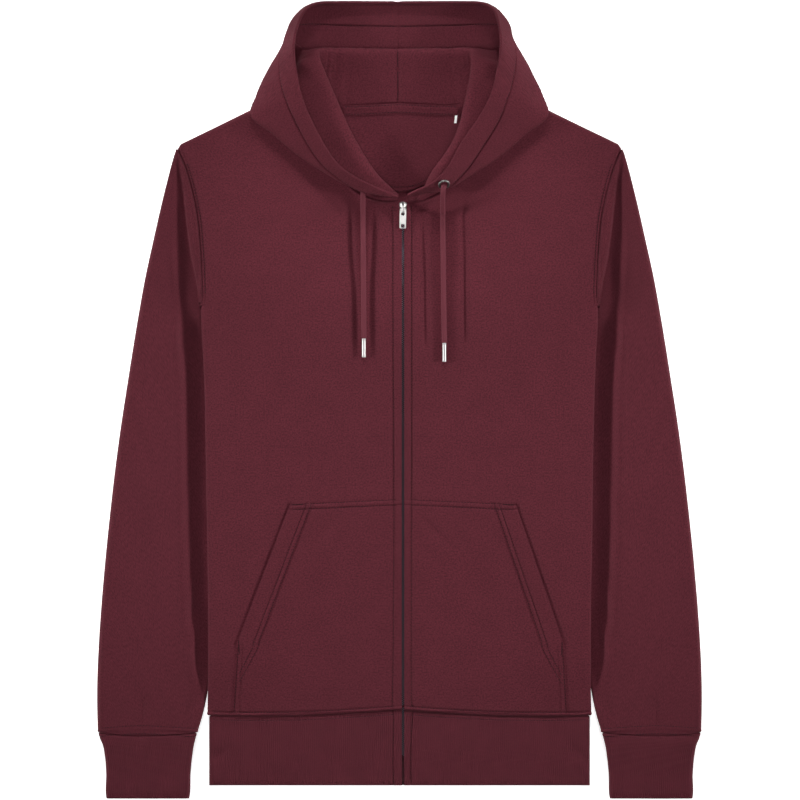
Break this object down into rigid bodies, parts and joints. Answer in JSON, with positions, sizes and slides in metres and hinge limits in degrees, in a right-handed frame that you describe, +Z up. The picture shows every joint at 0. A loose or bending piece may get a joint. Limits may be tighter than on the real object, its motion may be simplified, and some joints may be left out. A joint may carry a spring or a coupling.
{
  "type": "zip up hoodie",
  "caption": "Hooded sweatshirt laid flat with its hood spread open, closed by a full-length zip, with slanted front pockets, rib cuffs and hem and a drawcord with metal tips.",
  "frame": {"origin": "middle of the garment's footprint, on the surface it lies on", "axes": "+Y from hem to hood, +Z up out of the surface, +X to the right of a viewer looking down with the hood away from them"},
  "size_m": [0.6172, 0.8144, 0.0349],
  "materials": {
    "burgundy_fleece": "fine jersey face, fleece back, matt",
    "burgundy_rib": "fine rib, matt",
    "burgundy_cord": "flat braid, matt",
    "white_label": "woven tape, plain",
    "dark_zip": "dark plated teeth",
    "nickel": "polished nickel plate"
  },
  "bodies": {
    "hoodie": {"back": "burgundy_fleece", "cord_left": "burgundy_cord", "cord_right": "burgundy_cord", "cord_tip_left": "nickel", "cord_tip_right": "nickel", "cuff_left": "burgundy_rib", "cuff_right": "burgundy_rib", "eyelet_left": "nickel", "eyelet_right": "nickel", "front_left": "burgundy_fleece", "front_right": "burgundy_fleece", "hem_band": "burgundy_rib", "hood_left": "burgundy_fleece", "hood_right": "burgundy_fleece", "label_tab": "white_label", "neck_half_moon": "burgundy_fleece", "neck_tape": "burgundy_fleece", "pocket_left": "burgundy_fleece", "pocket_right": "burgundy_fleece", "sleeve_left": "burgundy_fleece", "sleeve_right": "burgundy_fleece", "zip_chain": "dark_zip", "zip_slider": "nickel"},
    "pull_tab": {"pull_tab": "nickel"}
  },
  "joints": [
    {"name": "pull_tab_hinge", "type": "hinge", "parent": "hoodie", "child": "pull_tab", "pos_m": [0.0036, 0.1935, 0.0141], "axis": [-1, 0, 0], "range_deg": [0, 120]}
  ]
}
